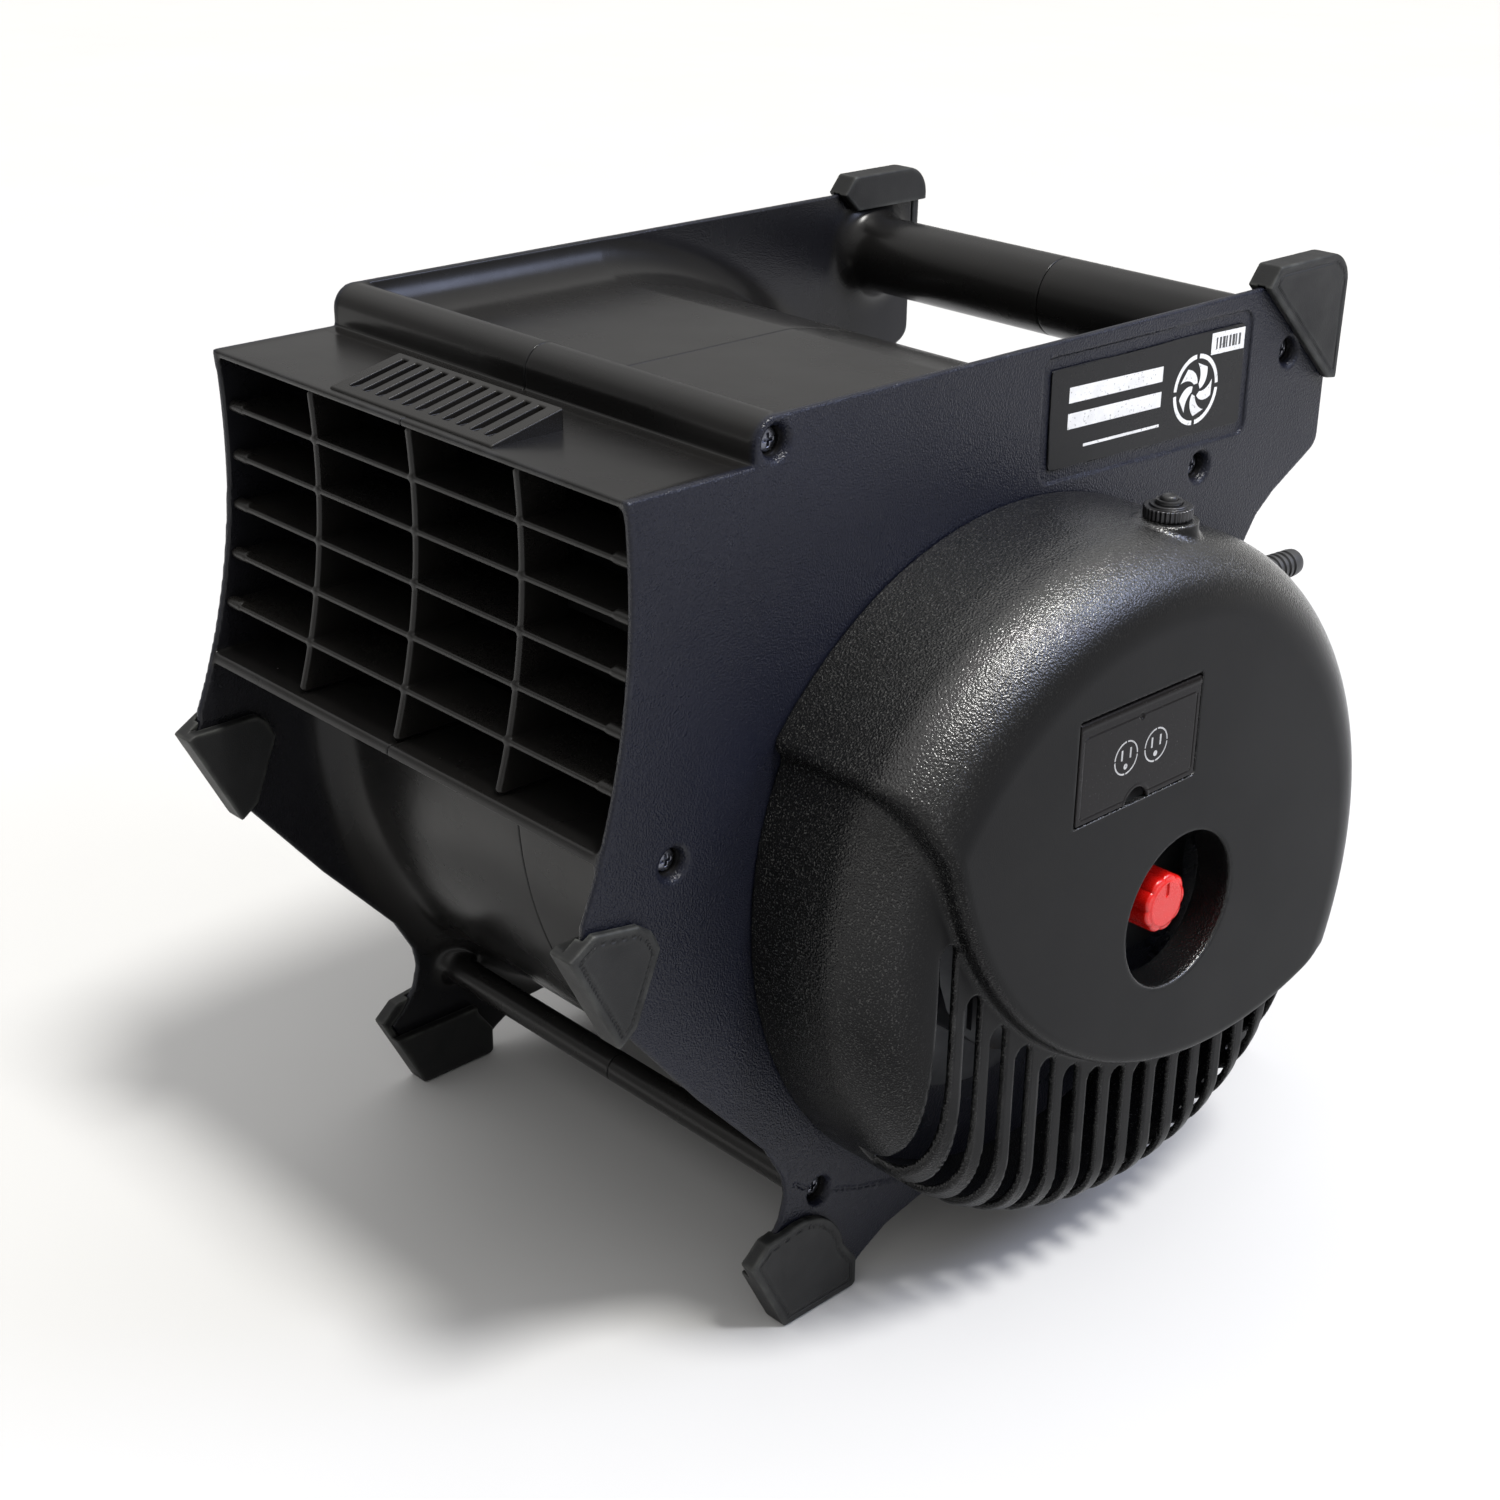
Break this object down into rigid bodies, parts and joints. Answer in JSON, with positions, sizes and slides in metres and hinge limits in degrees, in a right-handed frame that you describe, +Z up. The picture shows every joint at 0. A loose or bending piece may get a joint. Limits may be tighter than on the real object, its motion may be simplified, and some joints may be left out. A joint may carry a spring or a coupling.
{
  "type": "centrifugal air mover",
  "caption": "Portable centrifugal blower for drying floors: scroll housing between two flat side plates, wide slatted outlet, round motor cover with knob and receptacle.",
  "frame": {"origin": "middle of the footprint, on the floor the four lower feet stand on", "axes": "+X along the fan axis towards the motor cover, +Y towards the handle, -Y is the side the air leaves, +Z up"},
  "size_m": [0.3286, 0.4154, 0.376],
  "materials": {
    "shell": "fine moulded grain, black with a slight navy cast",
    "cover": "coarse sparkle grain on the sides, satin face",
    "rubber": "matte dark grey",
    "red_knob": "glossy red",
    "smoked_door": "glossy smoked",
    "steel": "zinc plated",
    "zinc": "dull plated sheet",
    "winding": "lacquered copper wire",
    "laminations": "stacked electrical steel",
    "inner_plastic": "black moulded",
    "black_nut": "black oxide",
    "label": "printed foil, black with white marks"
  },
  "bodies": {
    "housing": {"housing_right": "shell", "housing_left": "shell", "outlet_grille": "shell", "intake_ring": "shell", "intake_guard": "shell", "stator": "laminations", "winding_fan_side": "winding", "winding_cover_side": "winding", "motor_bell_fan_side": "zinc", "motor_bell_cover_side": "zinc", "bearing_fan_side": "steel", "bearing_cover_side": "steel", "motor_mount_plate": "zinc", "motor_mount_screw_1": "steel", "motor_mount_screw_2": "steel", "motor_mount_screw_3": "steel", "motor_mount_screw_4": "steel", "run_capacitor": "inner_plastic", "motor_cover": "cover", "cord_gland": "rubber", "cover_screw_1": "steel", "cover_screw_2": "steel", "cover_screw_3": "steel", "cover_screw_4": "steel", "control_panel": "zinc", "speed_switch": "inner_plastic", "receptacle": "inner_plastic", "door_pin": "steel", "breaker_body": "inner_plastic", "breaker_nut": "black_nut", "foot_front_upper_right": "rubber", "foot_front_upper_left": "rubber", "foot_front_lower_right": "rubber", "foot_front_lower_left": "rubber", "foot_rear_upper_right": "rubber", "foot_rear_upper_left": "rubber", "foot_rear_lower_right": "rubber", "foot_rear_lower_left": "rubber", "housing_screw_top_rear": "zinc", "housing_screw_front": "zinc", "housing_screw_low": "zinc", "housing_screw_top_front": "zinc", "housing_screw_handle": "zinc", "nameplate": "label"},
    "fan": {"impeller": "inner_plastic", "impeller_hub": "zinc", "motor_shaft": "steel", "rotor": "laminations"},
    "knob": {"speed_knob": "red_knob"},
    "door": {"receptacle_door": "smoked_door"},
    "reset": {"reset_button": "inner_plastic"}
  },
  "joints": [
    {"name": "fan_spin", "type": "hinge", "parent": "housing", "child": "fan", "pos_m": [-0.0307, 0.00835, 0.157], "axis": [1, 0, 0], "continuous": true},
    {"name": "knob_turn", "type": "hinge", "parent": "housing", "child": "knob", "pos_m": [0.1493, 0.02835, 0.1647], "axis": [1, 0, 0], "range_deg": [0, 135]},
    {"name": "door_flip", "type": "hinge", "parent": "housing", "child": "door", "pos_m": [0.1625, -0.0054, 0.2588], "axis": [0, -1, 0], "range_deg": [0, 95]},
    {"name": "reset_press", "type": "slide", "parent": "housing", "child": "reset", "axis": [0, 0, -1], "range_m": [0, 0.003], "stiffness_N_per_m": 300}
  ]
}
